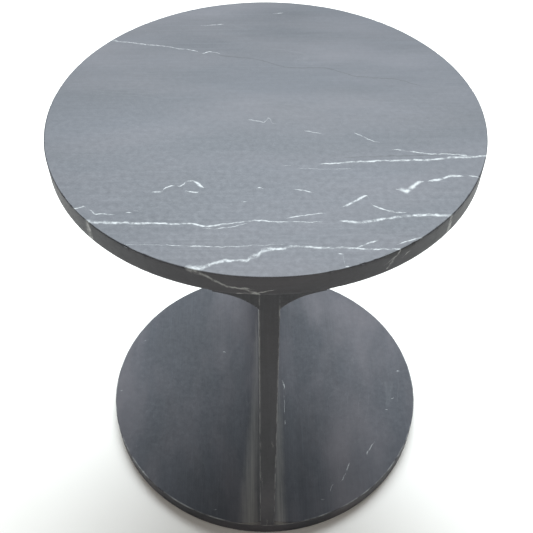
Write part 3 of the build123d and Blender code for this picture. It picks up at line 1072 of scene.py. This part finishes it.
# ---------------------------------------------------------------- stage
CAMERA_PLACE = Vector((-0.0104, -0.592, 0.8926))
CAMERA_HEADING = (0.0195, 0.9998)
CAMERA_DOWN = math.radians(50.94)
CAMERA_ROLL = math.radians(0.29)
CAMERA_LENS_MM = 52.41
SENSOR_MM = 36.0
CAMERA_SHIFT = (0.0009, 0.1004)
FLOOR_REACH = 12.0
WORLD_COLOUR = (1.0, 0.985, 0.965, 1.0)
WORLD_STRENGTH = 0.28
# A wide panel over the back of the table gives the honed faces their sheen; a weak one fills the front. Each
# has a name, a place, a target, a width, a height, its watts and its colour.
LAMPS = (
    ("overhead panel", (0.12, 1.1, 2.0), (0.0, 0.0, 0.45), 2.2, 0.8, 116.0, (0.835, 0.922, 1.0)),
    ("front fill", (-1.0, -2.6, 1.8), (0.0, 0.0, 0.25), 2.0, 2.0, 8.0, (1.0, 0.96, 0.95)),
)


def aimed(direction, roll=0.0):
    """The turn that points a camera or a light along a direction, with its top upwards."""
    return (direction.to_track_quat("-Z", "Y").to_matrix() @ Matrix.Rotation(roll, 3, "Z")).to_euler()


def soft_light(name, place, target, width, height, watts, colour):
    """A rectangular soft light that faces a target."""
    lamp = bpy.data.lights.new(name, "AREA")
    lamp.shape = "RECTANGLE"
    lamp.size = width
    lamp.size_y = height
    lamp.energy = watts
    lamp.color = colour
    light = bpy.data.objects.new(name, lamp)
    light.location = place
    light.rotation_euler = aimed(Vector(target) - Vector(place))
    bpy.context.scene.collection.objects.link(light)


class MARBLE_OT_stage(TableOperator):
    """Lays the floor and sets the lights, the world and the camera"""

    bl_idname = "marble_table.stage"
    bl_label = "Stage"

    def execute(self, context):
        corners = FLOOR_REACH * np.array([(-1, -1, 0), (1, -1, 0), (1, 1, 0), (-1, 1, 0)])
        floor = make_object("floor", (corners, [[0, 1, 2, 3]]))
        floor.data.materials.append(material_of("floor"))
        for lamp in LAMPS:
            soft_light(*lamp)

        world = bpy.data.worlds.new("studio")
        world.use_nodes = True
        background = world.node_tree.nodes["Background"]
        background.inputs["Color"].default_value = WORLD_COLOUR
        background.inputs["Strength"].default_value = WORLD_STRENGTH
        context.scene.world = world

        lens = bpy.data.cameras.new("camera")
        lens.lens = CAMERA_LENS_MM
        lens.sensor_width = SENSOR_MM
        lens.shift_x, lens.shift_y = CAMERA_SHIFT
        camera = bpy.data.objects.new("camera", lens)
        level = math.cos(CAMERA_DOWN)
        forward = Vector((level * CAMERA_HEADING[0], level * CAMERA_HEADING[1], -math.sin(CAMERA_DOWN)))
        camera.location = CAMERA_PLACE
        camera.rotation_euler = aimed(forward, CAMERA_ROLL)
        context.scene.collection.objects.link(camera)
        context.scene.camera = camera
        context.scene.view_settings.view_transform = "Standard"
        return {"FINISHED"}


# ---------------------------------------------------------------- sidebar and registration
STEPS = (MARBLE_OT_top, MARBLE_OT_base, MARBLE_OT_web, MARBLE_OT_haunches, MARBLE_OT_dowels,
         MARBLE_OT_studs, MARBLE_OT_nuts, MARBLE_OT_pads, MARBLE_OT_stage)


class MARBLE_PT_sidebar(bpy.types.Panel):
    """Lists the table's sizes, colours and pieces."""

    bl_idname = "MARBLE_PT_sidebar"
    bl_label = "Marble table"
    bl_space_type = "VIEW_3D"
    bl_region_type = "UI"
    bl_category = "Marble table"

    def draw(self, context):
        for group in (context.scene.table_sizes, context.scene.table_colours):
            for name in group.__annotations__:
                self.layout.prop(group, name)
        for step in STEPS:
            self.layout.operator(step.bl_idname)


CLASSES = (TableSizes, TableColours, *STEPS, MARBLE_PT_sidebar)


def register():
    """Registers the classes and puts the settings on the scene."""
    for each in CLASSES:
        bpy.utils.register_class(each)
    bpy.types.Scene.table_sizes = PointerProperty(type=TableSizes)
    bpy.types.Scene.table_colours = PointerProperty(type=TableColours)


def unregister():
    """Takes the settings and the classes away again."""
    del bpy.types.Scene.table_colours
    del bpy.types.Scene.table_sizes
    for each in reversed(CLASSES):
        bpy.utils.unregister_class(each)


def main():
    """Builds the pieces and the stage in order."""
    register()
    for step in STEPS:
        category, name = step.bl_idname.split(".")
        getattr(getattr(bpy.ops, category), name)()


if __name__ == "__main__":
    main()
